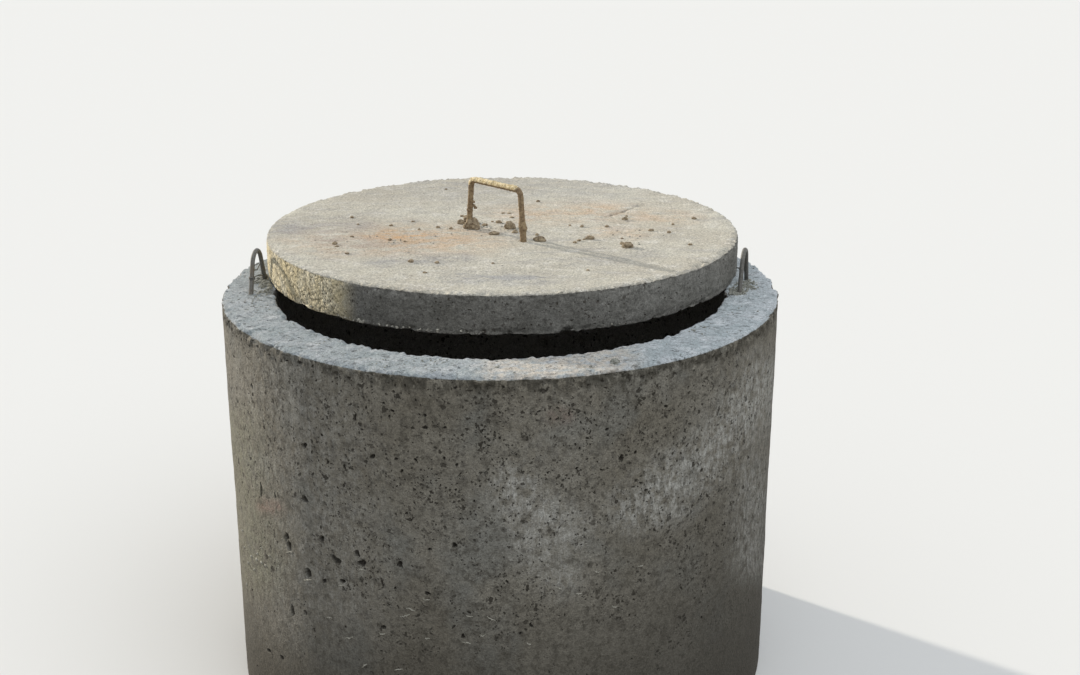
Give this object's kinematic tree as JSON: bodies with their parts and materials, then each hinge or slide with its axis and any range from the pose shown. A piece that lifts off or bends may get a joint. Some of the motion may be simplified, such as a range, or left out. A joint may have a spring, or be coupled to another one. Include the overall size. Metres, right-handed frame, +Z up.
{
  "type": "concrete culvert ring with cover",
  "caption": "Short plain-ended concrete ring standing on end, with wire lifting loops in its rim and a loose round concrete cover that has a bent bar handle.",
  "frame": {"origin": "on the ring's axis, in the plane of its base", "axes": "+Z up along the ring's axis, -Y towards the side where the cover leaves the bore partly open, +X to the right seen from there"},
  "size_m": [0.7399, 0.8044, 0.666],
  "materials": {
    "ring_concrete": "rough cast concrete with small air holes",
    "cover_concrete": "rough cast concrete, trowelled on top",
    "rusty_bar": "rusted ribbed steel bar with dried mud",
    "loop_wire": "dull dark steel wire with cement dust"
  },
  "bodies": {
    "root": {"culvert_ring": "ring_concrete", "cover_slab": "cover_concrete", "cover_handle": "rusty_bar", "lifting_loop_left": "loop_wire", "lifting_loop_right": "loop_wire"}
  },
  "joints": []
}
